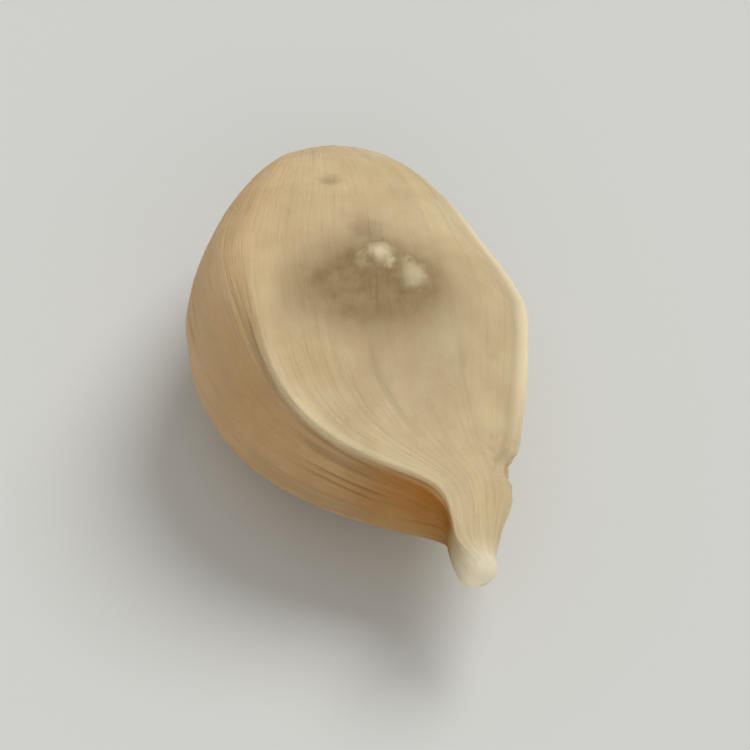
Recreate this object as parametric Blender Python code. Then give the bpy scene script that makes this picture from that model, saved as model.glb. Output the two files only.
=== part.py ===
"""A dried tangerine seed lying on its side: the blunt end at -X, the beak at +X, the keel along +Y."""

import math
from collections import namedtuple

import bmesh
import bpy
from mathutils import Vector

MM = 0.001

# The seed as a whole
LENGTH = 10.5 * MM
REST_CUT = 0.07 * MM  # how much of the round underside the flat spot takes away

# How finely the skin is laid: rings from end to end, and places around each ring
STATIONS = 44
AROUND = 56

# One side of an egg, measured outwards from the long axis. It is widest at `widest` from the blunt
# end and closes at `closes`. The powers say how full it is towards each end, and `neck` how softly it
# runs out into the beak.
Side = namedtuple("Side", "reach widest closes blunt_power beak_power neck")
KEEL_SIDE = Side(2.92 * MM, 4.6 * MM, 10.6 * MM, 1.82, 1.3, 0.32 * MM)
BELLY_SIDE = Side(3.09 * MM, 4.26 * MM, 9.08 * MM, 1.69, 2.35, 0.22 * MM)
UPPER_SIDE = Side(2.1 * MM, 4.2 * MM, 9.6 * MM, 1.72, 1.5, 0.32 * MM)
UNDER_SIDE = Side(2.1 * MM, 4.6 * MM, 9.4 * MM, 2.2, 1.35, 0.32 * MM)
RIDGE_LINE = Side(2.13 * MM, 5.46 * MM, 8.3 * MM, 1.5, 2.7, 0.85 * MM)

# A section is four quarter arcs. Each has a power across and a power up: 2 and 2 is an ellipse, and
# a power nearer 1 runs straighter into the corner at that end.
Arc = namedtuple("Arc", "across up")
ELLIPSE = Arc(2.0, 2.0)
FACE_ARC = Arc(1.45, 1.75)
FLANK_ARC = Arc(1.45, 2.2)
BELLY_ARC = Arc(2.2, 2.2)
LOWER_ARC = Arc(2.0, 1.8)
CORNER_SOFTNESS = 0.2

# Stretches of x, from the blunt end, over which the round end gives way to the body, the ridge
# becomes a crease, and the body gives way to the beak
ROUND_END = (0.0 * MM, 3.5 * MM)
CREASE_FORMS = (2.0 * MM, 6.5 * MM)
BEAK_TAKES_OVER = (8.1 * MM, 10.1 * MM)
CREASE_LOSS_ON_BEAK = 0.35

# Where the middle of a section lies to the side of the long axis
BLUNT_END_Y = 0.58 * MM
LOWEST_LINE_Y = -0.4 * MM
LOWEST_LINE_FORMS = (0.0 * MM, 3.0 * MM)

# The beak, a blunt peg that leans back towards the long axis
Beak = namedtuple("Beak", "start root_radius tip_radius root_y tip_y tip_z")
BEAK = Beak(8.6 * MM, 0.39 * MM, 0.36 * MM, 0.50 * MM, 0.08 * MM, 0.15 * MM)
BEAK_END = 0.9 * MM  # the last stretch, where the necks and the crease fade
BEAK_ROUND_END = 0.9 * BEAK.tip_radius
BEAK_ROUND_POWER = 2.4
BEAK_SINK = 0.35 / MM  # how fast it thins inside the body
RIDGE_ON_BEAK = 0.55  # share of its radius from its middle at which the ridge meets it

# Relief on the skin. A raised line has a hollow that runs beside it, and stretches of x over which it
# rises and fades.
Hollow = namedtuple("Hollow", "depth away half_width")
Line = namedtuple("Line", "height half_width hollow rises fades")
KEEL = Line(
    0.08 * MM, 0.20 * MM, Hollow(0.02 * MM, 0.48 * MM, 0.20 * MM), (1.0 * MM, 3.0 * MM), (8.8 * MM, 9.8 * MM)
)
RIDGE = Line(
    0.045 * MM, 0.26 * MM, Hollow(0.01 * MM, 0.60 * MM, 0.28 * MM), (3.6 * MM, 5.4 * MM), (8.6 * MM, 9.8 * MM)
)
Dent = namedtuple("Dent", "depth x y half_length half_width upper")
DENT = Dent(0.30 * MM, 4.4 * MM, 0.15 * MM, 1.2 * MM, 1.75 * MM, 0.6 * MM)

COAT_COLOUR = (0.57, 0.44, 0.27, 1.0)
COAT_ROUGHNESS = 0.62


def rise(value, start, end):
    """0 before start, 1 after end, and an S-curve between them."""
    share = min(max((value - start) / (end - start), 0.0), 1.0)
    return share * share * (3.0 - 2.0 * share)


def smooth_max(first, second, softness):
    """The larger of two lengths, with a fillet where they cross."""
    return 0.5 * (first + second + math.hypot(first - second, softness))


def bell(distance, half_width):
    return math.exp(-((distance / half_width) ** 2))


def reach(side, x):
    """How far this side of the body stands from the long axis at x from the blunt end."""
    if x < side.widest:
        back = (side.widest - x) / side.widest
        return side.reach * max(1.0 - back**side.blunt_power, 0.0) ** (1.0 / side.blunt_power)
    ahead = (x - side.widest) / (side.closes - side.widest)
    return side.reach * (1.0 - ahead**side.beak_power)


def beak_radius(x):
    """The beak's radius at x. It rounds off at the tip, and runs below zero inside the body."""
    along = (x - BEAK.start) / (LENGTH - BEAK.start)
    inside = max(BEAK.start - x, 0.0)
    radius = BEAK.root_radius + (BEAK.tip_radius - BEAK.root_radius) * along
    into_end = max(BEAK_ROUND_END - (LENGTH - x), 0.0) / BEAK_ROUND_END
    shrink = math.sqrt(max(1.0 - into_end**BEAK_ROUND_POWER, 0.0))
    return radius * shrink - BEAK_SINK * inside**2


Section = namedtuple("Section", "x keel belly top bottom ridge_y lowest_y level body crease")


def section_at(x):
    """The four outermost places of the section at x, and where its arcs meet."""
    into_beak = rise(x, *BEAK_TAKES_OVER)
    beak_y = BEAK.root_y + (BEAK.tip_y - BEAK.root_y) * into_beak
    beak_z = BEAK.tip_z * into_beak
    radius = beak_radius(x)
    end_y = BLUNT_END_Y * (1.0 - rise(x, *ROUND_END))
    lowest = LOWEST_LINE_Y * rise(x, *LOWEST_LINE_FORMS)
    off_tip = rise(LENGTH - x, 0.0, BEAK_END)

    def outermost(side, beak_reach):
        return smooth_max(reach(side, x), beak_reach, side.neck * off_tip)

    return Section(
        x=x,
        keel=end_y + outermost(KEEL_SIDE, beak_y + radius),
        belly=end_y - outermost(BELLY_SIDE, radius - beak_y),
        top=outermost(UPPER_SIDE, beak_z + radius),
        bottom=-outermost(UNDER_SIDE, radius - beak_z),
        ridge_y=end_y - outermost(RIDGE_LINE, RIDGE_ON_BEAK * off_tip * radius - beak_y),
        lowest_y=end_y + lowest * (1.0 - into_beak) + beak_y * into_beak,
        level=beak_z * into_beak,
        body=rise(x, *ROUND_END) * (1.0 - into_beak),
        crease=rise(x, *CREASE_FORMS) * (1.0 - CREASE_LOSS_ON_BEAK * into_beak) * off_tip,
    )


def soft_corner(share, power):
    """A superellipse's share of the way out, with the corner at share 0 rounded off."""
    bend = (2.0 / power - 1.0) / 2.0
    softness = CORNER_SOFTNESS**2
    return share * (share**2 + softness) ** bend / (1.0 + softness) ** bend


def arc_point(section, middle_y, side_y, end_z, arc, corner, angle):
    """A point of one quarter arc, from the side at angle 0 to the top or the bottom at 90 degrees."""
    across = ELLIPSE.across + (arc.across - ELLIPSE.across) * corner
    up = ELLIPSE.up + (arc.up - ELLIPSE.up) * section.body
    y = middle_y + (side_y - middle_y) * soft_corner(abs(math.cos(angle)), across)
    z = section.level + (end_z - section.level) * soft_corner(abs(math.sin(angle)), up)
    return Vector((section.x, y, z))


def skin_point(section, turn):
    """The point of the section at `turn`, an angle from the keel over the top and round below."""
    half = math.pi
    keelward = turn < half / 2.0 or turn > 1.5 * half
    side = section.keel if keelward else section.belly
    angle = min(turn, abs(turn - half), 2.0 * half - turn)
    if turn < half:
        arc = FACE_ARC if keelward else FLANK_ARC
        return arc_point(section, section.ridge_y, side, section.top, arc, section.crease, angle)
    arc = LOWER_ARC if keelward else BELLY_ARC
    return arc_point(section, section.lowest_y, side, section.bottom, arc, section.body, angle)


def raised_line(line, x, distance):
    """Height of a raised line and its hollow at this distance from the line."""
    here = rise(x, *line.rises) * (1.0 - rise(x, *line.fades))
    hollow = line.hollow.depth * bell(distance - line.hollow.away, line.hollow.half_width)
    return here * (line.height * bell(distance, line.half_width) - hollow)


def relief(section, point):
    """How far the skin stands out of its plain form at this point."""
    x, y, z = point
    from_keel = math.hypot(y - section.keel, z - section.level)
    from_ridge = math.hypot(y - section.ridge_y, z - section.top)
    dent = DENT.depth * rise(z, 0.0, DENT.upper)
    dent *= bell(x - DENT.x, DENT.half_length) * bell(y - DENT.y, DENT.half_width)
    return raised_line(KEEL, x, from_keel) + raised_line(RIDGE, x, from_ridge) - dent


def add_rings(mesh):
    """One ring of vertices for each station, closer together towards both ends."""
    rings = []
    for step in range(1, STATIONS):
        section = section_at(LENGTH * (1.0 - math.cos(math.pi * step / STATIONS)) / 2.0)
        points = [skin_point(section, 2.0 * math.pi * k / AROUND) for k in range(AROUND)]
        rings.append((section, [mesh.verts.new(point) for point in points]))
    return rings


def join_rings(mesh, rings):
    loops = []
    for _, ring in rings:
        loops.append([mesh.edges.new((ring[k], ring[(k + 1) % AROUND])) for k in range(AROUND)])
    for first, second in zip(loops, loops[1:]):
        bmesh.ops.bridge_loops(mesh, edges=first + second)


def close_end(mesh, ring, pole):
    """A fan of triangles from the ring to a point at the end of the seed."""
    tip = mesh.verts.new(pole)
    for k in range(AROUND):
        mesh.faces.new((ring[k], ring[(k + 1) % AROUND], tip))


def raise_relief(mesh, rings):
    mesh.normal_update()
    moves = [(vertex, relief(section, vertex.co)) for section, ring in rings for vertex in ring]
    for vertex, height in moves:
        vertex.co += vertex.normal * height


def centre_over_origin(mesh):
    """Puts the middle of the seed's box over the origin, and the cut underside on z = 0."""
    low = Vector([min(vertex.co[axis] for vertex in mesh.verts) for axis in range(3)])
    high = Vector([max(vertex.co[axis] for vertex in mesh.verts) for axis in range(3)])
    middle = (low + high) / 2.0
    move = Vector((-middle.x, -middle.y, -(low.z + REST_CUT)))
    bmesh.ops.translate(mesh, verts=mesh.verts, vec=move)


def cut_rest_spot(mesh):
    """Cuts the underside off at z = 0 and closes it with one flat face."""
    everything = mesh.verts[:] + mesh.edges[:] + mesh.faces[:]
    cut = bmesh.ops.bisect_plane(
        mesh, geom=everything, dist=1e-7, plane_co=(0, 0, 0), plane_no=(0, 0, -1), clear_outer=True
    )
    rim = [item for item in cut["geom_cut"] if isinstance(item, bmesh.types.BMEdge)]
    bmesh.ops.edgeloop_fill(mesh, edges=rim)


def coat_material():
    material = bpy.data.materials.new("seed_coat")
    material.use_nodes = True
    shader = material.node_tree.nodes["Principled BSDF"]
    shader.inputs["Base Color"].default_value = COAT_COLOUR
    shader.inputs["Roughness"].default_value = COAT_ROUGHNESS
    shader.inputs["Metallic"].default_value = 0.0
    return material


def build_seed():
    mesh = bmesh.new()
    rings = add_rings(mesh)
    join_rings(mesh, rings)
    close_end(mesh, rings[0][1], Vector((0.0, BLUNT_END_Y, 0.0)))
    close_end(mesh, rings[-1][1], Vector((LENGTH, BEAK.tip_y, BEAK.tip_z)))
    bmesh.ops.recalc_face_normals(mesh, faces=mesh.faces)
    raise_relief(mesh, rings)
    centre_over_origin(mesh)
    cut_rest_spot(mesh)
    bmesh.ops.recalc_face_normals(mesh, faces=mesh.faces)
    data = bpy.data.meshes.new("seed")
    mesh.to_mesh(data)
    mesh.free()
    data.materials.append(coat_material())
    data.shade_smooth()
    data.set_sharp_from_angle(angle=math.radians(40.0))
    seed = bpy.data.objects.new("seed", data)
    bpy.context.scene.collection.objects.link(seed)
    return seed


def clear_scene():
    for item in list(bpy.data.objects):
        bpy.data.objects.remove(item, do_unlink=True)


clear_scene()
build_seed()
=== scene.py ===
import math
from collections import namedtuple

import bpy
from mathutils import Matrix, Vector


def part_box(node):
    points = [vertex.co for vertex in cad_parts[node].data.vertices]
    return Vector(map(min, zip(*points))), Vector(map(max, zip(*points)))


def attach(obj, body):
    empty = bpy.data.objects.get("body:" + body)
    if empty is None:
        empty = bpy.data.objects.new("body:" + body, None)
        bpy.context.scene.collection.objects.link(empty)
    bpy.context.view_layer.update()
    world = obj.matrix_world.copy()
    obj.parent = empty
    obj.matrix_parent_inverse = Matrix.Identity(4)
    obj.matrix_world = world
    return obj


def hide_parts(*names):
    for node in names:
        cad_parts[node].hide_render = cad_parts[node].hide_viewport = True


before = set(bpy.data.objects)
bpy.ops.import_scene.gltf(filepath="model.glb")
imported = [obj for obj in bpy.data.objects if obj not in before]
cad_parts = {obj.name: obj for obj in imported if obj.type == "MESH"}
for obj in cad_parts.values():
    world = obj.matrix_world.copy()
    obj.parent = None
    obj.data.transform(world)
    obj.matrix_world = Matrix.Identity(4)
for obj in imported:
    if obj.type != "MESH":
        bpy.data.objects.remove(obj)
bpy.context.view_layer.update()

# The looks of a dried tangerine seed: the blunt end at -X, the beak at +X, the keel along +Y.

MM = 0.001
PER_MM = 1.0 / MM
SEED_LOW, SEED_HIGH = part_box("seed")
LENGTH = SEED_HIGH.x - SEED_LOW.x

# How the skin is laid: steps from end to end, and steps around. The bake's map keeps a margin.
STEPS_ALONG = 296
STEPS_AROUND = 334
MERGE_DISTANCE = 0.0001 * MM
BAKE_MARGIN = 0.01

# One side of an egg, measured outwards from the long axis. It is widest at `widest` from the blunt
# end and closes at `closes`. The powers say how full it is towards each end, and `neck` how softly it
# runs out into the beak.
Side = namedtuple("Side", "reach widest closes blunt_power beak_power neck")
SIDES = {
    "Keel": Side(2.92 * MM, 4.6 * MM, 10.6 * MM, 1.82, 1.3, 0.32 * MM),
    "Belly": Side(3.09 * MM, 4.26 * MM, 9.08 * MM, 1.69, 2.35, 0.22 * MM),
    "Upper": Side(2.1 * MM, 4.2 * MM, 9.6 * MM, 1.72, 1.5, 0.32 * MM),
    "Under": Side(2.1 * MM, 4.6 * MM, 9.4 * MM, 2.2, 1.35, 0.32 * MM),
    "Ridge": Side(2.13 * MM, 5.46 * MM, 8.3 * MM, 1.5, 2.7, 0.85 * MM),
}

# A section is four quarter arcs. Each has a power across and a power up: 2 and 2 is an ellipse, and
# a power nearer 1 runs straighter into the corner at that end.
Arc = namedtuple("Arc", "across up")
ELLIPSE_POWER = 2.0
FACE_ARC = Arc(1.45, 1.75)
FLANK_ARC = Arc(1.45, 2.2)
BELLY_ARC = Arc(2.2, 2.2)
LOWER_ARC = Arc(2.0, 1.8)
CORNER_SOFTNESS = 0.2

# Stretches from the blunt end, over which the round end gives way to the body, the ridge becomes a
# crease, and the body gives way to the beak
ROUND_END = (0.0 * MM, 3.5 * MM)
CREASE_FORMS = (2.0 * MM, 6.5 * MM)
BEAK_TAKES_OVER = (8.1 * MM, 10.1 * MM)
CREASE_LOSS_ON_BEAK = 0.35

# Where the middle of a section lies to the side of the long axis
BLUNT_END_Y = 0.58 * MM
LOWEST_LINE_Y = -0.4 * MM
LOWEST_LINE_FORMS = (0.0 * MM, 3.0 * MM)

# The beak, a blunt peg that leans back towards the long axis
Beak = namedtuple("Beak", "start root_radius tip_radius root_y tip_y tip_z")
BEAK = Beak(8.6 * MM, 0.39 * MM, 0.36 * MM, 0.50 * MM, 0.08 * MM, 0.15 * MM)
BEAK_END = 0.9 * MM  # the last stretch, where the necks and the crease fade
BEAK_ROUND_END = 0.9 * BEAK.tip_radius
BEAK_ROUND_POWER = 2.4
BEAK_SINK = 0.35 * PER_MM  # how fast it thins inside the body
RIDGE_ON_BEAK = 0.55  # share of its radius from its middle at which the ridge meets it

# Broad relief. A raised line has a hollow that runs beside it, and stretches from the blunt end over
# which it rises and fades.
Hollow = namedtuple("Hollow", "depth away half_width")
Line = namedtuple("Line", "height half_width hollow rises fades")
KEEL = Line(
    0.08 * MM, 0.20 * MM, Hollow(0.02 * MM, 0.48 * MM, 0.20 * MM), (1.0 * MM, 3.0 * MM), (8.8 * MM, 9.8 * MM)
)
RIDGE = Line(
    0.045 * MM, 0.26 * MM, Hollow(0.01 * MM, 0.60 * MM, 0.28 * MM), (3.6 * MM, 5.4 * MM), (8.6 * MM, 9.8 * MM)
)
Dent = namedtuple("Dent", "depth x y half_length half_width upper")
DENT = Dent(0.30 * MM, 4.4 * MM, 0.15 * MM, 1.2 * MM, 1.75 * MM, 0.6 * MM)

# The flat spot: how much of the lowest place is pressed in, and how round its edge is
REST_CUT = 0.07 * MM
REST_EDGE = 0.02 * MM

# Fine relief: the thin crests on the keel and the ridge, and the folds in the dent
KEEL_CREST = Line(
    0.06 * MM, 0.1 * MM, Hollow(0.03 * MM, 0.28 * MM, 0.09 * MM), (0.6 * MM, 2.4 * MM), (7.6 * MM, 8.4 * MM)
)
RIDGE_CREST = Line(
    0.016 * MM, 0.1 * MM, Hollow(0.003 * MM, 0.28 * MM, 0.12 * MM), (4.6 * MM, 6.4 * MM), (8.8 * MM, 9.9 * MM)
)
CREST_WAVER = 1.2
DENT_FOLD_HEIGHT = 0.2 * MM
SWELL_FORMS = (0.0 * MM, 1.2 * MM)
WRINKLE_LOSS_ON_BEAK = 0.35

# Wrinkles and creases lie in patches, and fade near the two ends, where they would run together
FEWEST_WRINKLES, MORE_IN_PATCHES = 0.35, 0.9
WRINKLE_PATCH_EDGE = (-0.15, 0.2)
CREASE_PATCH_EDGE = (-0.12, 0.12)
CREASES_ON_FACE = 0.35  # the face's share of the flank's
CREASE_HALF_WIDTH = 0.035  # in values of its noise
BLUNT_POLE = 0.15 * MM
BEAK_POLE = 0.25 * MM

# Small marks: where each is from the blunt end, from the long axis and above it
Mark = namedtuple("Mark", "place radius height")
PIMPLES = (
    Mark(Vector((3.77, 0.60, 1.50)) * MM, 0.25 * MM, 0.07 * MM),
    Mark(Vector((3.92, 0.14, 1.56)) * MM, 0.20 * MM, 0.03 * MM),
    Mark(Vector((4.30, 1.03, 1.33)) * MM, 0.38 * MM, 0.05 * MM),
)
PITS = (
    Mark(Vector((1.83, 0.33, 1.47)) * MM, 0.15 * MM, -0.05 * MM),
    Mark(Vector((3.20, 0.50, 1.57)) * MM, 0.25 * MM, -0.09 * MM),
    Mark(Vector((10.5, 0.14, -0.06)) * MM, 0.09 * MM, -0.04 * MM),
)
NOTCH = Mark(Vector((8.16, 1.49, 0.10)) * MM, 0.36 * MM, -0.20 * MM)
KNOB = Mark(Vector((8.85, 1.10, 0.15)) * MM, 0.25 * MM, 0.04 * MM)
MARK_UNEVENNESS = 1.9

# Where the coat's colours lie. The pale rim follows the keel, with painted shade in the groove beside
# it, and another pale line follows the ridge. Both pale lines are partly the coat's own colour and
# partly a painted highlight.
RIM_HALF_WIDTH = 0.26 * MM
RIM_FADES = (6.0 * MM, 8.4 * MM)
GROOVE_HALF_WIDTH = 0.12 * MM
RIDGE_LINE_HALF_WIDTH = 0.14 * MM
BEAK_PALES = (8.3 * MM, 9.3 * MM)
# The tip's paleness is partly its own and partly painted highlight
TIP_WHITENS = (9.6 * MM, 10.5 * MM)
BLUNT_END_TANS = (0.0 * MM, 0.5 * MM)
# Where the flank's colour deepens: partly a browner coat, partly painted shade
FLANK_TAN_AND_SHADE_DEEPEN = (3.0 * MM, 8.5 * MM)
# A band of painted shade along the middle of the face
Trough = namedtuple("Trough", "x y half_length half_width")
TROUGH_SHADE = Trough(5.3 * MM, 0.5 * MM, 2.0 * MM, 1.5 * MM)

# The ochre stain in the corner under the ridge: how far it reaches down from the ridge, how far its
# edges wander, and where it begins and ends
STAIN_DEPTH = 1.3 * MM
STAIN_WANDER = 0.8 * MM
STAIN_BEGINS = (7.3 * MM, 8.9 * MM)
STAIN_ENDS = (9.2 * MM, 10.1 * MM)

# Where around the seed the flank's colour begins and is full, as a cosine away from the keel: sharp at
# the crease and soft below and where there is no crease. It fades on the beak.
FLANK_AT_CREASE = (0.0, 0.5)
FLANK_ELSEWHERE = (-0.7, 0.7)
FLANK_FADES = (8.9 * MM, 9.7 * MM)

# Noise: how fine it is, how many finer layers lie on it and how strong they are, and how far it is
# drawn out of shape. A lengthwise noise has a scale of 1, because its fineness is given apart.
Grain = namedtuple("Grain", "scale detail roughness distortion", defaults=(2.0, 0.5, 0.0))
SWELL = Grain(0.75 * PER_MM)
WAVER = Grain(1.3 * PER_MM, detail=1.0)
DENT_FOLDS = Grain(1.8 * PER_MM, detail=3.0)
MARK_EDGE = Grain(4.4 * PER_MM, detail=3.0, roughness=0.6)
STAIN_EDGE = Grain(1.6 * PER_MM)
WRINKLES = Grain(1.0, detail=3.0, roughness=0.55, distortion=0.35)
WRINKLE_PATCHES = Grain(0.55 * PER_MM, detail=1.0)
CREASES = Grain(1.0, detail=2.0, roughness=0.4, distortion=0.2)
CREASE_PATCHES = Grain(0.45 * PER_MM, detail=1.0)
CLOUDS = Grain(0.9 * PER_MM, detail=4.0, roughness=0.6)
STRAW_PATCHES = Grain(0.42 * PER_MM, detail=3.0, roughness=0.55)
TAN_CLOUDS = Grain(0.8 * PER_MM, detail=4.0, roughness=0.6)
DENT_CLOUDS = Grain(1.8 * PER_MM, detail=4.0, roughness=0.6)
STAIN_CLOUDS = Grain(1.8 * PER_MM, detail=4.0)
FLECKS = Grain(4.0 * PER_MM, detail=3.0, roughness=0.6)
DULL_THREADS = Grain(1.0, detail=3.0, roughness=0.6, distortion=0.2)
STREAKS = Grain(1.0, detail=4.0, roughness=0.6, distortion=0.3)
RAISED_THREADS = Grain(1.0, detail=4.0, roughness=0.6, distortion=0.3)
PAPER = Grain(9.0 * PER_MM, detail=4.0, roughness=0.65)

# How fine a lengthwise noise is around the seed, and along it
Fineness = namedtuple("Fineness", "around along")
DULL_THREAD_FINENESS = Fineness(26.0, 5.0)
STREAK_FINENESS = Fineness(7.0, 3.0)
RAISED_THREAD_FINENESS = Fineness(30.0, 7.0)

# Another pattern gives another seed's clouds and wrinkles. A noise's own values lie about its middle.
PATTERN = 3.0
NOISE_MIDDLE = 0.5

# The named inputs of the skin's node tree
SKIN_INPUTS = {
    "Length": LENGTH,
    "Keel reach": SIDES["Keel"].reach,
    "Belly reach": SIDES["Belly"].reach,
    "Upper reach": SIDES["Upper"].reach,
    "Under reach": SIDES["Under"].reach,
    "Ridge reach": SIDES["Ridge"].reach,
    "Dent depth": DENT.depth,
    "Keel height": KEEL.height,
    "Ridge height": RIDGE.height,
    "Swell height": 0.07 * MM,
    "Wrinkle height": 0.056 * MM,
    "Wrinkles around": 9.0,
    "Wrinkles along": 2.6,
    "Crease depth": 0.05 * MM,
    "Creases around": 2.2,
    "Creases along": 1.3,
    "Pattern": PATTERN,
}

# How high a noise or a mask has to be before its colour begins, and where the colour is full
CLOUD_EDGE = (-0.18, 0.2)
STRAW_EDGE = (0.03, 0.22)
THREAD_EDGE = (-0.02, -0.22)
WRINKLE_HOLLOW_EDGE = (-0.03, -0.25)
DENT_EDGE = (0.15, 0.85)
PIMPLE_EDGE = (0.2, 1.0)
PIMPLE_RING_AT, PIMPLE_RING_HALF_WIDTH = 0.25, 0.16
FLECK_EDGE = (0.21, 0.30)

# Roughness: the coat's own, what its papery grain adds and what its threads take away
COAT_ROUGHNESS = 0.55
PAPER_ROUGHENS = 0.25
THREADS_SMOOTH = 0.12

# Colours
CREAM = (0.74, 0.61, 0.37, 1.0)
BEIGE = (0.62, 0.48, 0.28, 1.0)
STRAW = (0.66, 0.49, 0.22, 1.0)
# Tan: partly the flank's own colour, partly painted warm bounce light and shade
TAN_AND_WARM_SHADE = (0.77, 0.485, 0.225, 1.0)
# Deep tan: the blunt end's own colour, and on the flank partly painted shade
DEEP_TAN_AND_SHADE = (0.48, 0.26, 0.10, 1.0)
# Grey-brown: the dull threads' own colour, and painted shade in hollows, creases, the groove, the pits and
# along the face
GREY_BROWN_AND_SHADE = (0.30, 0.22, 0.13, 1.0)
# Dent brown: partly stain, partly painted shade in the dent and around the pimples
DENT_BROWN_AND_SHADE = (0.25, 0.165, 0.055, 1.0)
FLECK_BROWN = (0.16, 0.09, 0.045, 1.0)
OCHRE = (0.46, 0.185, 0.018, 1.0)
# Pale cream: partly the rims' and pimples' own colour, partly painted highlight
RIM_CREAM_AND_HIGHLIGHT = (0.96, 0.85, 0.59, 1.0)
# Tip white: partly the tip's own paleness, partly painted highlight
TIP_WHITE_AND_HIGHLIGHT = (0.98, 0.88, 0.68, 1.0)
FLOOR_COLOUR = (0.735, 0.765, 0.78, 1.0)

# The studio. A sun's azimuth is where it stands, counted as the camera's is, and its spread is how
# wide it looks.
FLOOR_RADIUS = 0.7
FLOOR_ROUGHNESS = 0.75
WORLD_COLOUR = (1.0, 0.965, 0.90, 1.0)
WORLD_STRENGTH = 0.37
Sun = namedtuple("Sun", "azimuth elevation strength spread colour")
KEY_SUN = Sun(math.radians(205.0), math.radians(52.0), 1.63, math.radians(36.0), (1.0, 0.97, 0.92))
FILL_SUN = Sun(math.radians(75.0), math.radians(25.0), 0.50, math.radians(60.0), (1.0, 0.95, 0.88))
CAMERA_AZIMUTH = math.radians(70.0)
CAMERA_ELEVATION = math.radians(50.0)
CAMERA_LENS = 1000.0
SENSOR_WIDTH = 36.0
FRAME_WIDTH = 13.4 * MM

# A colour Mix node has several sockets of one name, so its own are taken by number
MIX_SHARE, MIX_UNDER, MIX_OVER, MIX_RESULT = 0, 6, 7, 2


# Sums on node sockets

class Field:
    """A value that varies over a surface. Sums on fields add Math nodes to the tree they are in."""

    def __init__(self, socket):
        self.socket = socket

    def __add__(self, other):
        return calculate("ADD", self, other)

    __radd__ = __add__

    def __sub__(self, other):
        return calculate("SUBTRACT", self, other)

    def __rsub__(self, other):
        return calculate("SUBTRACT", other, self)

    def __mul__(self, other):
        return calculate("MULTIPLY", self, other)

    __rmul__ = __mul__

    def __truediv__(self, other):
        return calculate("DIVIDE", self, other)

    def __rtruediv__(self, other):
        return calculate("DIVIDE", other, self)

    def __pow__(self, other):
        return calculate("POWER", self, other)

    def __rpow__(self, other):
        return calculate("POWER", other, self)

    def __neg__(self):
        return self * -1.0


def plug(value, socket):
    """Sets a socket to a plain value, or links it to a field or another socket."""
    if isinstance(value, Field):
        value = value.socket
    if isinstance(value, bpy.types.NodeSocket):
        socket.id_data.links.new(value, socket)
    else:
        socket.default_value = value


def add_node(tree, kind, inputs=None, **options):
    node = tree.nodes.new(kind)
    for name, value in options.items():
        setattr(node, name, value)
    for name, value in (inputs or {}).items():
        plug(value, node.inputs[name])
    return node


def calculate(operation, *values):
    tree = next(value for value in values if isinstance(value, Field)).socket.id_data
    node = add_node(tree, "ShaderNodeMath", dict(enumerate(values)), operation=operation)
    return Field(node.outputs[0])


def at_least(value, least):
    return calculate("MAXIMUM", value, least)


def size_of(value):
    return calculate("ABSOLUTE", value)


def root(value):
    return calculate("SQRT", value)


def hypotenuse(first, second):
    return root(first * first + second * second)


def smooth_max(first, second, softness):
    """The larger of two lengths, with a fillet where they cross."""
    return 0.5 * (first + second + hypotenuse(first - second, softness))


def bell(distance, half_width):
    share = distance / half_width
    return calculate("EXPONENT", -(share * share))


def rise(value, start, end):
    """0 at start, 1 at end, and an S-curve between them. The start may be the higher of the two."""
    tree = value.socket.id_data
    limits = {"Value": value, "From Min": start, "From Max": end}
    return Field(add_node(tree, "ShaderNodeMapRange", limits, interpolation_type="SMOOTHSTEP").outputs[0])


def pick(share, if_one, if_zero):
    """One of two values, by a field that is 1 or 0, or a blend of them where it lies between."""
    return share * (if_one - if_zero) + if_zero


def noise(vector, grain, pattern=PATTERN):
    """Soft noise about 0, mostly between -0.5 and 0.5."""
    inputs = {
        "Vector": vector,
        "W": pattern,
        "Scale": grain.scale,
        "Detail": grain.detail,
        "Roughness": grain.roughness,
        "Distortion": grain.distortion,
    }
    node = add_node(vector.id_data, "ShaderNodeTexNoise", inputs, noise_dimensions="4D")
    return Field(node.outputs[0]) - NOISE_MIDDLE


def lengthwise_noise(fibre, fineness, grain, pattern=PATTERN):
    """Noise drawn out along the seed. The fibre coordinates are scaled around the seed and along it."""
    scale = combine(fibre.id_data, fineness.around, fineness.around, fineness.along)
    stretched = add_node(fibre.id_data, "ShaderNodeVectorMath", {0: fibre, 1: scale}, operation="MULTIPLY")
    return noise(stretched.outputs[0], grain, pattern)


def distance_between(vector, point):
    node = add_node(vector.id_data, "ShaderNodeVectorMath", {0: vector, 1: point}, operation="DISTANCE")
    return Field(node.outputs["Value"])


def combine(tree, x, y, z):
    return add_node(tree, "ShaderNodeCombineXYZ", {"X": x, "Y": y, "Z": z}).outputs[0]


def separate(vector):
    node = add_node(vector.id_data, "ShaderNodeSeparateXYZ", {"Vector": vector})
    return [Field(output) for output in node.outputs]


# The skin's form

def reach(side, width, x):
    """How far this side of the body stands from the long axis at x from the blunt end."""
    back = at_least((side.widest - x) / side.widest, 0.0)
    ahead = at_least((x - side.widest) / (side.closes - side.widest), 0.0)
    blunt = at_least(1.0 - back**side.blunt_power, 0.0) ** (1.0 / side.blunt_power)
    return width * blunt * (1.0 - ahead**side.beak_power)


def beak_radius(x, length):
    """The beak's radius at x. It rounds off at the tip, and runs below zero inside the body."""
    along = (x - BEAK.start) / (length - BEAK.start)
    inside = at_least(BEAK.start - x, 0.0)
    radius = BEAK.root_radius + (BEAK.tip_radius - BEAK.root_radius) * along
    into_end = at_least(BEAK_ROUND_END - (length - x), 0.0) / BEAK_ROUND_END
    shrink = root(at_least(1.0 - into_end**BEAK_ROUND_POWER, 0.0))
    return radius * shrink - BEAK_SINK * inside * inside


Section = namedtuple("Section", "x keel belly top bottom ridge_y lowest_y level body crease")


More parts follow.
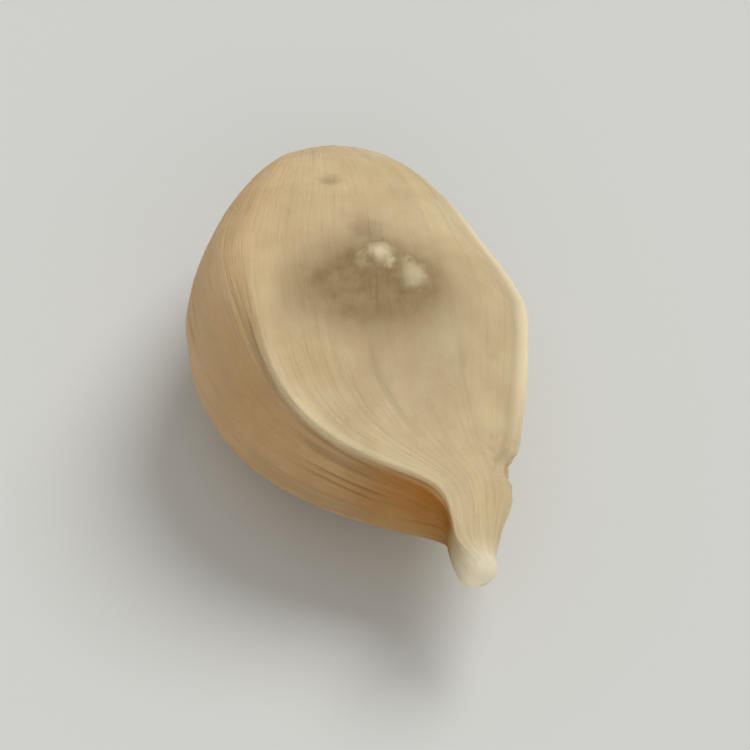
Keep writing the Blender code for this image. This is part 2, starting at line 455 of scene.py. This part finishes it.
def section_at(x, sizes):
    """The four outermost places of the section at x, and where its arcs meet."""
    length = sizes["Length"]
    into_beak = rise(x, *BEAK_TAKES_OVER)
    off_beak = 1.0 - into_beak
    off_tip = rise(length - x, 0.0, BEAK_END)
    beak_y = BEAK.root_y + (BEAK.tip_y - BEAK.root_y) * into_beak
    beak_z = BEAK.tip_z * into_beak
    radius = beak_radius(x, length)
    end_y = BLUNT_END_Y * (1.0 - rise(x, *ROUND_END))
    lowest = LOWEST_LINE_Y * rise(x, *LOWEST_LINE_FORMS)

    def outermost(name, beak_reach):
        side = SIDES[name]
        return smooth_max(reach(side, sizes[name + " reach"], x), beak_reach, side.neck * off_tip)

    return Section(
        x=x,
        keel=end_y + outermost("Keel", beak_y + radius),
        belly=end_y - outermost("Belly", radius - beak_y),
        top=outermost("Upper", beak_z + radius),
        bottom=-outermost("Under", radius - beak_z),
        ridge_y=end_y - outermost("Ridge", RIDGE_ON_BEAK * off_tip * radius - beak_y),
        lowest_y=end_y + lowest * off_beak + into_beak * beak_y,
        level=into_beak * beak_z,
        body=off_beak * rise(x, *ROUND_END),
        crease=rise(x, *CREASE_FORMS) * (1.0 - CREASE_LOSS_ON_BEAK * into_beak) * off_tip,
    )


def soft_corner(share, power):
    """A superellipse's share of the way out, with the corner at share 0 rounded off."""
    bend = (ELLIPSE_POWER / power - 1.0) / 2.0
    softness = CORNER_SOFTNESS * CORNER_SOFTNESS
    return share * (share * share + softness) ** bend / (1.0 + softness) ** bend


def skin_point(tree, section, cosine, sine):
    """The skin's place at an angle from the keel, given by its cosine and sine."""
    upper = calculate("GREATER_THAN", sine, 0.0)
    keelward = calculate("GREATER_THAN", cosine, 0.0)

    def arc_power(name, above_shape):
        above = pick(keelward, getattr(FACE_ARC, name), getattr(FLANK_ARC, name)) - ELLIPSE_POWER
        below = pick(keelward, getattr(LOWER_ARC, name), getattr(BELLY_ARC, name)) - ELLIPSE_POWER
        return ELLIPSE_POWER + pick(upper, above * above_shape, below * section.body)

    middle_y = pick(upper, section.ridge_y, section.lowest_y)
    side_y = pick(keelward, section.keel, section.belly)
    end_z = pick(upper, section.top, section.bottom)
    y = middle_y + (side_y - middle_y) * soft_corner(size_of(cosine), arc_power("across", section.crease))
    z = section.level + (end_z - section.level) * soft_corner(size_of(sine), arc_power("up", section.body))
    return combine(tree, section.x, y, z)


# The skin's relief

Spot = namedtuple("Spot", "place x y from_keel from_ridge in_dent")


def find_spot(section, place):
    """How far this place is from the keel and from the ridge, and how deep in the dent it is."""
    x, y, z = separate(place)
    above = rise(z, 0.0, DENT.upper)
    return Spot(
        place=place,
        x=x,
        y=y,
        from_keel=hypotenuse(y - section.keel, z - section.level),
        from_ridge=hypotenuse(y - section.ridge_y, z - section.top),
        in_dent=above * bell(x - DENT.x, DENT.half_length) * bell(y - DENT.y, DENT.half_width),
    )


def line_here(line, x):
    """1 along the stretch of a raised line, and 0 before and after it."""
    return rise(x, *line.rises) * (1.0 - rise(x, *line.fades))


def raised_line(line, height, distance):
    hollow = line.hollow.depth * bell(distance - line.hollow.away, line.hollow.half_width)
    return height * bell(distance, line.half_width) - hollow


def broad_relief(spot, sizes):
    keel = line_here(KEEL, spot.x) * raised_line(KEEL, sizes["Keel height"], spot.from_keel)
    ridge = line_here(RIDGE, spot.x) * raised_line(RIDGE, sizes["Ridge height"], spot.from_ridge)
    return keel + ridge - sizes["Dent depth"] * spot.in_dent


def off_poles(x):
    """0 at the two ends, where everything lengthwise would run together, and 1 between them."""
    return rise(x, 0.0, BLUNT_POLE) * (1.0 - rise(x, LENGTH - BEAK_POLE, LENGTH))


def wrinkle_field(fibre, spot, sizes):
    """Lengthwise wrinkles, stronger in patches."""
    pattern = sizes["Pattern"]
    fineness = Fineness(sizes["Wrinkles around"], sizes["Wrinkles along"])
    wrinkles = lengthwise_noise(fibre, fineness, WRINKLES, pattern)
    patches = rise(noise(spot.place, WRINKLE_PATCHES, pattern), *WRINKLE_PATCH_EDGE)
    return wrinkles * (FEWEST_WRINKLES + MORE_IN_PATCHES * patches) * off_poles(spot.x)


def crease_field(fibre, spot, flank, sizes):
    """Long thin furrows, where a slow lengthwise noise passes through its middle. The face has fewer."""
    pattern = sizes["Pattern"]
    fineness = Fineness(sizes["Creases around"], sizes["Creases along"])
    furrows = bell(lengthwise_noise(fibre, fineness, CREASES, pattern), CREASE_HALF_WIDTH)
    patches = rise(noise(spot.place, CREASE_PATCHES, pattern), *CREASE_PATCH_EDGE)
    return furrows * patches * pick(flank, 1.0, CREASES_ON_FACE) * off_poles(spot.x)


def flank_field(cosine, sine, crease):
    """1 on the narrow side face that lies beyond the ridge."""
    sharp = calculate("GREATER_THAN", sine, 0.0) * crease
    begins, full = (pick(sharp, *limits) for limits in zip(FLANK_AT_CREASE, FLANK_ELSEWHERE))
    return rise(-cosine, begins, full)


def mark_shape(spot, mark, pattern):
    """A round mark's mask, made a little uneven."""
    unevenness = 1.0 + MARK_UNEVENNESS * noise(spot.place, MARK_EDGE, pattern)
    return bell(distance_between(spot.place, mark.place) * unevenness, mark.radius)


def fine_relief(spot, wrinkles, creases, sizes):
    """The height of everything that the broad form leaves out."""
    pattern = sizes["Pattern"]
    on_beak = rise(spot.x, *BEAK_TAKES_OVER)
    off_ends = rise(spot.x, *SWELL_FORMS) * (1.0 - on_beak)
    waver = 1.0 + CREST_WAVER * noise(spot.place, WAVER, pattern)
    keel = line_here(KEEL_CREST, spot.x) * waver
    ridge = line_here(RIDGE_CREST, spot.x) * waver
    height = sizes["Swell height"] * noise(spot.place, SWELL, pattern) * off_ends
    height = height + sizes["Wrinkle height"] * wrinkles * (1.0 - WRINKLE_LOSS_ON_BEAK * on_beak)
    height = height - sizes["Crease depth"] * creases
    height = height + keel * raised_line(KEEL_CREST, KEEL_CREST.height, spot.from_keel)
    height = height + ridge * raised_line(RIDGE_CREST, RIDGE_CREST.height, spot.from_ridge)
    height = height + spot.in_dent * noise(spot.place, DENT_FOLDS, pattern) * DENT_FOLD_HEIGHT
    for mark in (*PIMPLES, *PITS, NOTCH, KNOB):
        height = height + mark.height * mark_shape(spot, mark, pattern)
    return height


# Where the coat's colours lie

def stain_shape(spot, flank, pattern):
    """The ochre stain that fills the corner under the ridge, beside the beak."""
    x = spot.x + STAIN_WANDER * noise(spot.place, STAIN_EDGE, pattern)
    along = rise(x, *STAIN_BEGINS) * (1.0 - rise(x, *STAIN_ENDS))
    return along * bell(spot.from_ridge, STAIN_DEPTH) * flank


def pimple_shape(spot, pattern):
    """The pimples together, each as strong as it is high beside the first."""
    tallest = PIMPLES[0].height
    return sum(mark_shape(spot, pimple, pattern) * (pimple.height / tallest) for pimple in PIMPLES)


def coat_masks(spot, flank, wrinkles, creases, pattern):
    """The masks that the coat's material reads from the skin, by the names of their attributes."""
    along_rim = rise(spot.x, *KEEL.rises) * (1.0 - rise(spot.x, *RIM_FADES))
    from_groove = spot.from_keel - KEEL_CREST.hollow.away
    trough_shade = bell(spot.x - TROUGH_SHADE.x, TROUGH_SHADE.half_length) * bell(spot.y - TROUGH_SHADE.y, TROUGH_SHADE.half_width)
    return {
        "wrinkle": wrinkles,
        "crease": creases,
        "dent": spot.in_dent,
        "keel_rim_and_highlight": along_rim * bell(spot.from_keel, RIM_HALF_WIDTH),
        "keel_groove_shade": line_here(KEEL_CREST, spot.x) * bell(from_groove, GROOVE_HALF_WIDTH),
        "ridge_line_and_highlight": line_here(RIDGE_CREST, spot.x) * bell(spot.from_ridge, RIDGE_LINE_HALF_WIDTH),
        "beak": rise(spot.x, *BEAK_PALES),
        "tip": rise(spot.x, *TIP_WHITENS),
        "blunt_end": 1.0 - rise(spot.x, *BLUNT_END_TANS),
        "flank": flank * (1.0 - rise(spot.x, *FLANK_FADES)),
        "stain": stain_shape(spot, flank, pattern),
        "pimple": pimple_shape(spot, pattern),
        "towards_beak_shade": rise(spot.x, *FLANK_TAN_AND_SHADE_DEEPEN),
        "trough_shade": trough_shade,
        "pit": sum(mark_shape(spot, pit, pattern) for pit in PITS),
    }


# The skin's node tree

def add_group_inputs(tree):
    """Named inputs for the skin's sizes. Returns them as fields."""
    tree.interface.new_socket(name="Geometry", in_out="INPUT", socket_type="NodeSocketGeometry")
    tree.interface.new_socket(name="Geometry", in_out="OUTPUT", socket_type="NodeSocketGeometry")
    for name in SKIN_INPUTS:
        tree.interface.new_socket(name=name, in_out="INPUT", socket_type="NodeSocketFloat")
    group_input = tree.nodes.new("NodeGroupInput")
    return {name: Field(group_input.outputs[name]) for name in SKIN_INPUTS}


def store(tree, geometry, name, value, data_type="FLOAT", domain="POINT"):
    inputs = {"Geometry": geometry, "Name": name, "Value": value}
    node = add_node(tree, "GeometryNodeStoreNamedAttribute", inputs, data_type=data_type, domain=domain)
    return node.outputs[0]


def read_vector(tree, name):
    node = add_node(tree, "GeometryNodeInputNamedAttribute", {"Name": name}, data_type="FLOAT_VECTOR")
    return node.outputs[0]


def position(tree):
    return tree.nodes.new("GeometryNodeInputPosition").outputs[0]


def change(tree, geometry, kind, socket="Geometry", **inputs):
    """Passes the skin through one more node, with these inputs, and returns what comes out."""
    return add_node(tree, kind, {socket: geometry, **inputs}).outputs[0]


def move_out(tree, geometry, height):
    """Moves each point of the skin outwards along its normal."""
    normal = tree.nodes.new("GeometryNodeInputNormal").outputs[0]
    scaled = {0: normal, "Scale": height}
    offset = add_node(tree, "ShaderNodeVectorMath", scaled, operation="SCALE").outputs[0]
    return change(tree, geometry, "GeometryNodeSetPosition", Offset=offset)


def lay_grid(tree):
    """A flat grid that keeps, for each point, the angle around the seed and the share of its length."""
    sizes = {"Size X": 1.0, "Size Y": 1.0, "Vertices X": STEPS_ALONG + 1, "Vertices Y": STEPS_AROUND + 1}
    grid = add_node(tree, "GeometryNodeMeshGrid", sizes)
    flat = separate(position(tree))
    share = (1.0 - calculate("COSINE", (flat[0] + 0.5) * math.pi)) / 2.0
    angle = (flat[1] + 0.5) * (2.0 * math.pi) - math.pi / 2.0
    fibre = combine(tree, calculate("COSINE", angle), calculate("SINE", angle), share)
    geometry = store(tree, grid.outputs["Mesh"], "fibre", fibre, "FLOAT_VECTOR")
    inner = 1.0 - 2.0 * BAKE_MARGIN
    inset = {0: grid.outputs["UV Map"], 1: (inner, inner, 0.0), 2: (BAKE_MARGIN, BAKE_MARGIN, 0.0)}
    bake_map = add_node(tree, "ShaderNodeVectorMath", inset, operation="MULTIPLY_ADD").outputs[0]
    return store(tree, geometry, "OFBake", bake_map, "FLOAT2", "CORNER")


def centre_over_origin(tree, geometry):
    """Puts the middle of the seed's box over the origin, and its lowest place a little under z = 0."""
    box = add_node(tree, "GeometryNodeBoundBox", {"Geometry": geometry})
    low, high = separate(box.outputs["Min"]), separate(box.outputs["Max"])
    offset = combine(tree, (low[0] + high[0]) / -2.0, (low[1] + high[1]) / -2.0, -(low[2] + REST_CUT))
    return change(tree, geometry, "GeometryNodeTransform", Translation=offset)


def press_rest_spot(tree, geometry):
    """Presses what lies under z = 0 flat, with a slightly rounded edge."""
    x, y, z = separate(position(tree))
    pressed = combine(tree, x, y, smooth_max(z, 0.0, REST_EDGE))
    return change(tree, geometry, "GeometryNodeSetPosition", Position=pressed)


def skin_tree(material):
    """The whole skin: broad form, broad relief, masks, fine relief and the flat spot."""
    tree = bpy.data.node_groups.new("seed_skin", "GeometryNodeTree")
    sizes = add_group_inputs(tree)
    geometry = lay_grid(tree)
    fibre = read_vector(tree, "fibre")
    cosine, sine, share = separate(fibre)
    section = section_at(share * sizes["Length"], sizes)
    form = skin_point(tree, section, cosine, sine)
    geometry = change(tree, geometry, "GeometryNodeSetPosition", Position=form)
    geometry = change(tree, geometry, "GeometryNodeMergeByDistance", Distance=MERGE_DISTANCE)
    geometry = change(tree, geometry, "GeometryNodeFlipFaces", "Mesh")

    # The masks and the fine relief need each point's place as it is before the seed is centred
    here = position(tree)
    geometry = move_out(tree, geometry, broad_relief(find_spot(section, here), sizes))
    geometry = store(tree, geometry, "place", here, "FLOAT_VECTOR")
    geometry = centre_over_origin(tree, geometry)

    spot = find_spot(section, read_vector(tree, "place"))
    wrinkles = wrinkle_field(fibre, spot, sizes)
    flank = flank_field(cosine, sine, section.crease)
    creases = crease_field(fibre, spot, flank, sizes)
    for name, mask in coat_masks(spot, flank, wrinkles, creases, sizes["Pattern"]).items():
        geometry = store(tree, geometry, name, mask)
    geometry = move_out(tree, geometry, fine_relief(spot, wrinkles, creases, sizes))
    geometry = press_rest_spot(tree, geometry)

    geometry = change(tree, geometry, "GeometryNodeSetShadeSmooth")
    geometry = change(tree, geometry, "GeometryNodeRealizeInstances")
    geometry = change(tree, geometry, "GeometryNodeSetMaterial", Material=material)
    plug(geometry, tree.nodes.new("NodeGroupOutput").inputs[0])
    return tree


def evaluate_skin(tree):
    """Runs the tree on an empty object and returns the result as a plain mesh object."""
    carrier = bpy.data.objects.new("skin_carrier", bpy.data.meshes.new("skin_carrier"))
    bpy.context.scene.collection.objects.link(carrier)
    modifier = carrier.modifiers.new("skin", "NODES")
    modifier.node_group = tree
    for item in tree.interface.items_tree:
        if item.in_out == "INPUT" and item.name in SKIN_INPUTS:
            modifier[item.identifier] = SKIN_INPUTS[item.name]
    graph = bpy.context.evaluated_depsgraph_get()
    mesh = bpy.data.meshes.new_from_object(carrier.evaluated_get(graph), depsgraph=graph)
    mesh.name = "seed_skin"
    bpy.data.objects.remove(carrier, do_unlink=True)
    skin = bpy.data.objects.new("seed_skin", mesh)
    bpy.context.scene.collection.objects.link(skin)
    return skin


# Materials

def attribute(tree, name, output="Fac"):
    return add_node(tree, "ShaderNodeAttribute", attribute_name=name).outputs[output]


def mask_of(tree, name):
    """One of the masks that the skin carries."""
    return Field(attribute(tree, name))


def paint(under, mask, colour, amount=1.0):
    """Lays a colour over what is there, where the mask says, as strongly as the amount says."""
    sockets = {MIX_SHARE: mask * amount, MIX_UNDER: under, MIX_OVER: colour}
    return add_node(mask.socket.id_data, "ShaderNodeMix", sockets, data_type="RGBA").outputs[MIX_RESULT]


def varied(by, middle, swing):
    """An amount that a noise raises and lowers."""
    return middle + swing * by


def ground_colour(place, clouds):
    """Beige, clouded with cream, with patches of straw."""
    colour = paint(BEIGE, clouds, CREAM)
    return paint(colour, rise(noise(place, STRAW_PATCHES), *STRAW_EDGE), STRAW, amount=0.55)


def tan_flank(tree, colour, place, streaks):
    """Flank tan that is partly painted warm light and shade, deeper towards the beak, and deeper tan on the
    blunt end.
    """
    flank = mask_of(tree, "flank")
    clouds = varied(noise(place, TAN_CLOUDS), middle=0.55, swing=1.5)
    # The flank's tan: partly its own colour, partly painted warm bounce light and shade
    colour = paint(colour, flank * varied(streaks, middle=0.62, swing=1.3), TAN_AND_WARM_SHADE)
    # Painted shade: the flank darkens towards the beak, partly a browner coat there
    colour = paint(colour, flank * mask_of(tree, "towards_beak_shade") * clouds, DEEP_TAN_AND_SHADE)
    # The blunt end's own deeper tan
    return paint(colour, mask_of(tree, "blunt_end") * clouds, DEEP_TAN_AND_SHADE, amount=0.6)


def dark_lines(tree, colour, fibre, off_ends):
    """Dull threads, and painted shade in the wrinkles' hollows and the creases."""
    threads = lengthwise_noise(fibre, DULL_THREAD_FINENESS, DULL_THREADS)
    colour = paint(colour, rise(threads, *THREAD_EDGE) * off_ends, GREY_BROWN_AND_SHADE, amount=0.16)
    # Painted shade in the wrinkles' hollows and in the creases
    colour = paint(colour, rise(mask_of(tree, "wrinkle"), *WRINKLE_HOLLOW_EDGE), GREY_BROWN_AND_SHADE, amount=0.3)
    return paint(colour, mask_of(tree, "crease"), GREY_BROWN_AND_SHADE, amount=0.35)


def dark_face(tree, colour, place):
    """Painted shade along the face's middle, and brown clouds in the dent, partly a darker stain and partly
    painted shade.
    """
    off_flank = 1.0 - mask_of(tree, "flank")
    # Painted shade along the middle of the face
    colour = paint(colour, mask_of(tree, "trough_shade") * off_flank, GREY_BROWN_AND_SHADE, amount=0.44)
    # The dent's brown: partly stain, partly painted shade in the hollow
    clouds = varied(noise(place, DENT_CLOUDS), middle=0.95, swing=1.7)
    return paint(colour, rise(mask_of(tree, "dent"), *DENT_EDGE) * clouds, DENT_BROWN_AND_SHADE, amount=0.82)


def pale_edges(tree, colour):
    """The pale rim on the keel with painted shade in the groove beside it, and the pale ridge, both partly
    painted highlight.
    """
    # Painted shade in the groove beside the keel's rim
    colour = paint(colour, mask_of(tree, "keel_groove_shade"), GREY_BROWN_AND_SHADE, amount=0.35)
    # Pale rim and ridge line: partly the coat's own colour, partly painted highlight
    colour = paint(colour, mask_of(tree, "keel_rim_and_highlight"), RIM_CREAM_AND_HIGHLIGHT)
    return paint(colour, mask_of(tree, "ridge_line_and_highlight"), RIM_CREAM_AND_HIGHLIGHT, amount=0.35)


def beak_colours(tree, colour, place, clouds, streaks):
    """The cream beak, the ochre stain beside it and its white tip, partly a painted highlight."""
    colour = paint(colour, mask_of(tree, "beak"), CREAM, amount=0.5)
    stain_clouds = varied(noise(place, STAIN_CLOUDS), middle=1.0, swing=0.8)
    stain = mask_of(tree, "stain") * varied(streaks, middle=stain_clouds, swing=1.2)
    colour = paint(colour, stain, OCHRE, amount=1.1)
    # The pale tip: partly its own paleness, partly painted highlight
    return paint(colour, mask_of(tree, "tip") * varied(clouds, middle=0.7, swing=0.5), TIP_WHITE_AND_HIGHLIGHT)


def marked(tree, colour, place):
    """Pale pimples, partly painted highlight, in a darker ring of stain and painted shade, pits darkened with
    painted shade, and a few brown flecks.
    """
    pimple = mask_of(tree, "pimple")
    ring = bell(pimple - PIMPLE_RING_AT, PIMPLE_RING_HALF_WIDTH)
    # A ring of painted shade around the pimples, partly the dent's stain
    colour = paint(colour, ring, DENT_BROWN_AND_SHADE, amount=0.35)
    # The pimples' paleness: partly their own colour, partly painted highlight
    colour = paint(colour, rise(pimple, *PIMPLE_EDGE), RIM_CREAM_AND_HIGHLIGHT, amount=0.6)
    # Painted shade in the pits
    colour = paint(colour, mask_of(tree, "pit"), GREY_BROWN_AND_SHADE, amount=0.6)
    return paint(colour, rise(noise(place, FLECKS), *FLECK_EDGE), FLECK_BROWN, amount=0.55)


def coat_colour(tree, place, fibre, off_ends):
    """The coat's colour, laid on in layers."""
    clouds = rise(noise(place, CLOUDS), *CLOUD_EDGE)
    streaks = lengthwise_noise(fibre, STREAK_FINENESS, STREAKS)
    colour = ground_colour(place, clouds)
    colour = tan_flank(tree, colour, place, streaks)
    colour = dark_lines(tree, colour, fibre, off_ends)
    colour = dark_face(tree, colour, place)
    colour = pale_edges(tree, colour)
    colour = beak_colours(tree, colour, place, clouds, streaks)
    return marked(tree, colour, place)


def coat_normal(tree, paper, threads):
    """The fine unevenness of the coat: a papery grain, and threads along it."""
    grain = {"Strength": 0.5, "Distance": 0.02 * MM, "Height": paper}
    fine = add_node(tree, "ShaderNodeBump", grain).outputs[0]
    lengthwise = {"Strength": 0.7, "Distance": 0.05 * MM, "Height": threads, "Normal": fine}
    return add_node(tree, "ShaderNodeBump", lengthwise).outputs[0]


def coat_material():
    """Dry papery seed coat: satin to matt, faintly fibrous along its length."""
    material = bpy.data.materials.new("seed_coat")
    material.use_nodes = True
    tree = material.node_tree
    shader = tree.nodes["Principled BSDF"]
    place = tree.nodes.new("ShaderNodeTexCoord").outputs["Object"]
    fibre = attribute(tree, "fibre", "Vector")
    off_ends = off_poles(separate(fibre)[2] * LENGTH)
    paper = noise(place, PAPER)
    threads = lengthwise_noise(fibre, RAISED_THREAD_FINENESS, RAISED_THREADS) * off_ends
    plug(coat_colour(tree, place, fibre, off_ends), shader.inputs["Base Color"])
    roughness = COAT_ROUGHNESS + PAPER_ROUGHENS * paper - THREADS_SMOOTH * threads
    plug(roughness, shader.inputs["Roughness"])
    plug(coat_normal(tree, paper, threads), shader.inputs["Normal"])
    shader.inputs["Specular IOR Level"].default_value = 0.3
    shader.inputs["Subsurface Weight"].default_value = 0.12
    shader.inputs["Subsurface Radius"].default_value = (1.0, 0.6, 0.3)
    shader.inputs["Subsurface Scale"].default_value = 0.4 * MM
    return material


def floor_material():
    material = bpy.data.materials.new("pale_floor")
    material.use_nodes = True
    shader = material.node_tree.nodes["Principled BSDF"]
    shader.inputs["Base Color"].default_value = FLOOR_COLOUR
    shader.inputs["Roughness"].default_value = FLOOR_ROUGHNESS
    return material


# The studio

def direction(azimuth, elevation):
    """From the seed towards something that stands at this azimuth and elevation."""
    level = math.cos(elevation)
    return Vector((math.sin(azimuth) * level, -math.cos(azimuth) * level, math.sin(elevation)))


def make_floor():
    bpy.ops.mesh.primitive_circle_add(vertices=96, radius=FLOOR_RADIUS, fill_type="NGON")
    floor = bpy.context.object
    floor.name = "floor"
    floor.data.materials.append(floor_material())


def make_world():
    world = bpy.data.worlds.new("studio")
    world.use_nodes = True
    background = world.node_tree.nodes["Background"]
    background.inputs["Color"].default_value = WORLD_COLOUR
    background.inputs["Strength"].default_value = WORLD_STRENGTH
    bpy.context.scene.world = world


def make_sun(name, sun):
    light = bpy.data.lights.new(name, "SUN")
    light.energy = sun.strength
    light.angle = sun.spread
    light.color = sun.colour
    lamp = bpy.data.objects.new(name, light)
    lamp.rotation_euler = direction(sun.azimuth, sun.elevation).to_track_quat("Z", "Y").to_euler()
    bpy.context.scene.collection.objects.link(lamp)


def make_camera(target):
    data = bpy.data.cameras.new("camera")
    data.lens = CAMERA_LENS
    data.sensor_width = SENSOR_WIDTH
    back = direction(CAMERA_AZIMUTH, CAMERA_ELEVATION)
    distance = FRAME_WIDTH * CAMERA_LENS / SENSOR_WIDTH
    camera = bpy.data.objects.new("camera", data)
    camera.location = target + back * distance
    camera.rotation_euler = back.to_track_quat("Z", "Y").to_euler()
    bpy.context.scene.collection.objects.link(camera)
    bpy.context.scene.camera = camera


def make_studio():
    make_floor()
    make_world()
    make_sun("key", KEY_SUN)
    make_sun("fill", FILL_SUN)
    bpy.context.scene.view_settings.view_transform = "Standard"
    make_camera((SEED_LOW + SEED_HIGH) / 2.0)


skin = evaluate_skin(skin_tree(coat_material()))
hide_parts("seed")
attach(skin, "root")
make_studio()
